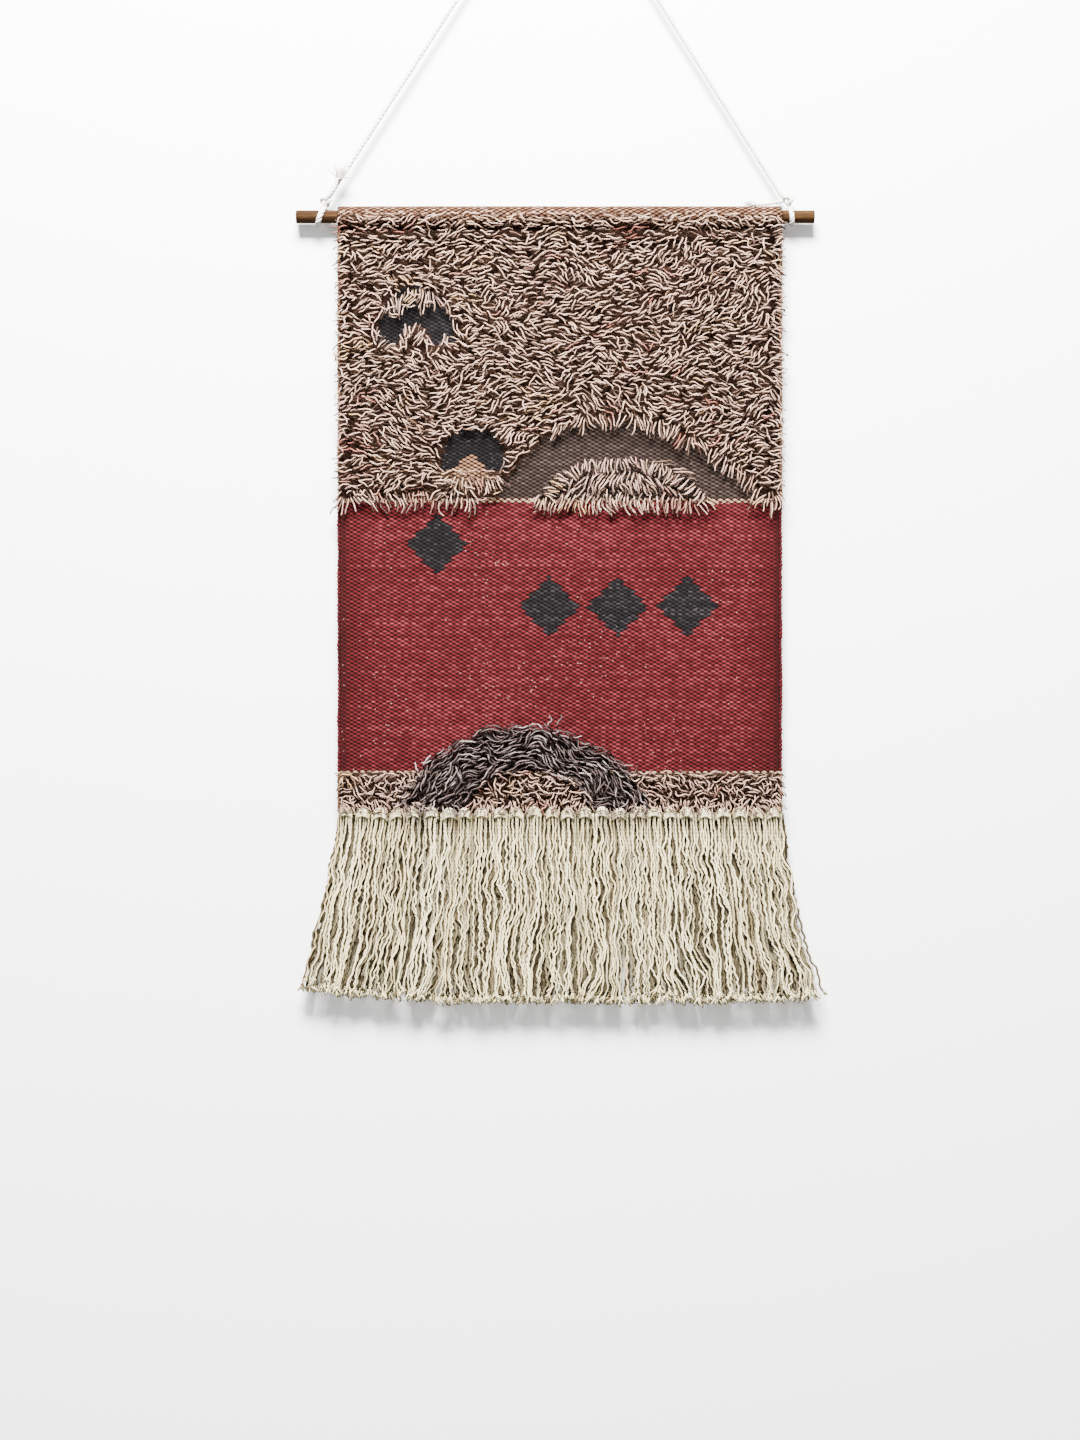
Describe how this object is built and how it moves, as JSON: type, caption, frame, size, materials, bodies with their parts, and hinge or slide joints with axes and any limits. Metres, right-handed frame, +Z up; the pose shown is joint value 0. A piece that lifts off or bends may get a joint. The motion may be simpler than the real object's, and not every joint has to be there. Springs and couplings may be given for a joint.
{
  "type": "tapestry wall hanging",
  "caption": "Woven wall hanging with shaggy pile, inlaid diamonds and a knotted fringe, hung on a wooden dowel by a cotton cord from a wall peg.",
  "frame": {"origin": "centre of the wall peg's flat back face, on the wall", "axes": "+Z up along the hanging, +Y into the wall, +X to the right when facing the wall"},
  "size_m": [0.5874, 0.03, 1.2983],
  "materials": {
    "peg_wood": "turned hardwood, dark stain, satin",
    "dowel_wood": "softwood dowel, mid brown stain, matt",
    "cotton_cord": "twisted white cotton",
    "tan_weave": "plain weave in tan wool",
    "red_weave": "weft-faced weave in deep red wool, heathered",
    "brown_weave": "weft-faced weave in taupe brown wool",
    "charcoal_weave": "weft-faced weave in charcoal wool, grey flecks",
    "rose_pile": "long loose pile in dusty rose wool yarn",
    "dark_pile": "long loose pile in dark grey-brown wool yarn",
    "fringe_yarn": "cream cotton yarn, soft and slightly wavy",
    "sewing_thread": "beige sewing thread"
  },
  "bodies": {
    "wall_peg": {"wall_peg": "peg_wood"},
    "suspension": {"hanging_cord": "cotton_cord", "left_hitch_loop": "cotton_cord", "left_knot": "cotton_cord", "left_tail": "cotton_cord", "right_hitch_loop": "cotton_cord", "right_knot": "cotton_cord", "right_tail": "cotton_cord"},
    "rod": {"wooden_dowel": "dowel_wood"},
    "panel": {"rod_pocket": "tan_weave", "pocket_hem": "tan_weave", "pocket_stitching": "sewing_thread", "upper_ground": "tan_weave", "red_ground": "red_weave", "lower_ground": "tan_weave", "brown_hill": "brown_weave", "upper_arch_motif": "charcoal_weave", "lower_arch_motif": "charcoal_weave", "tan_patch": "tan_weave", "diamond_1": "charcoal_weave", "diamond_2": "charcoal_weave", "diamond_3": "charcoal_weave", "diamond_4": "charcoal_weave", "left_selvedge": "tan_weave", "right_selvedge": "tan_weave", "pocket_pile": "rose_pile", "upper_pile": "rose_pile", "mound_pile": "rose_pile", "arch_pile": "dark_pile", "bottom_pile_left": "rose_pile", "bottom_pile_mound": "rose_pile", "bottom_pile_right": "rose_pile", "header_cord": "fringe_yarn"},
    "fringe": {"fringe_bundle_01": "fringe_yarn", "fringe_bundle_02": "fringe_yarn", "fringe_bundle_03": "fringe_yarn", "fringe_bundle_04": "fringe_yarn", "fringe_bundle_05": "fringe_yarn", "fringe_bundle_06": "fringe_yarn", "fringe_bundle_07": "fringe_yarn", "fringe_bundle_08": "fringe_yarn", "fringe_bundle_09": "fringe_yarn", "fringe_bundle_10": "fringe_yarn", "fringe_bundle_11": "fringe_yarn", "fringe_bundle_12": "fringe_yarn", "fringe_bundle_13": "fringe_yarn", "fringe_bundle_14": "fringe_yarn", "fringe_bundle_15": "fringe_yarn", "fringe_bundle_16": "fringe_yarn", "fringe_bundle_17": "fringe_yarn", "fringe_bundle_18": "fringe_yarn", "fringe_bundle_19": "fringe_yarn", "fringe_bundle_20": "fringe_yarn", "fringe_bundle_21": "fringe_yarn", "fringe_bundle_22": "fringe_yarn", "fringe_bundle_23": "fringe_yarn", "fringe_bundle_24": "fringe_yarn", "fringe_bundle_25": "fringe_yarn", "fringe_bundle_26": "fringe_yarn"}
  },
  "joints": [
    {"name": "hanging_swing", "type": "hinge", "parent": "wall_peg", "child": "suspension", "pos_m": [0, -0.012, 0], "axis": [0, 1, 0], "range_deg": [-12, 12]},
    {"name": "rod_turn", "type": "hinge", "parent": "suspension", "child": "rod", "pos_m": [0, -0.012, -0.403], "axis": [-1, 0, 0], "range_deg": [0, 60]},
    {"name": "panel_slide", "type": "slide", "parent": "rod", "child": "panel", "axis": [1, 0, 0], "range_m": [-0.01, 0.004]},
    {"name": "fringe_swing", "type": "hinge", "parent": "panel", "child": "fringe", "pos_m": [0, -0.012, -1.074], "axis": [-1, 0, 0], "range_deg": [0, 40]}
  ]
}
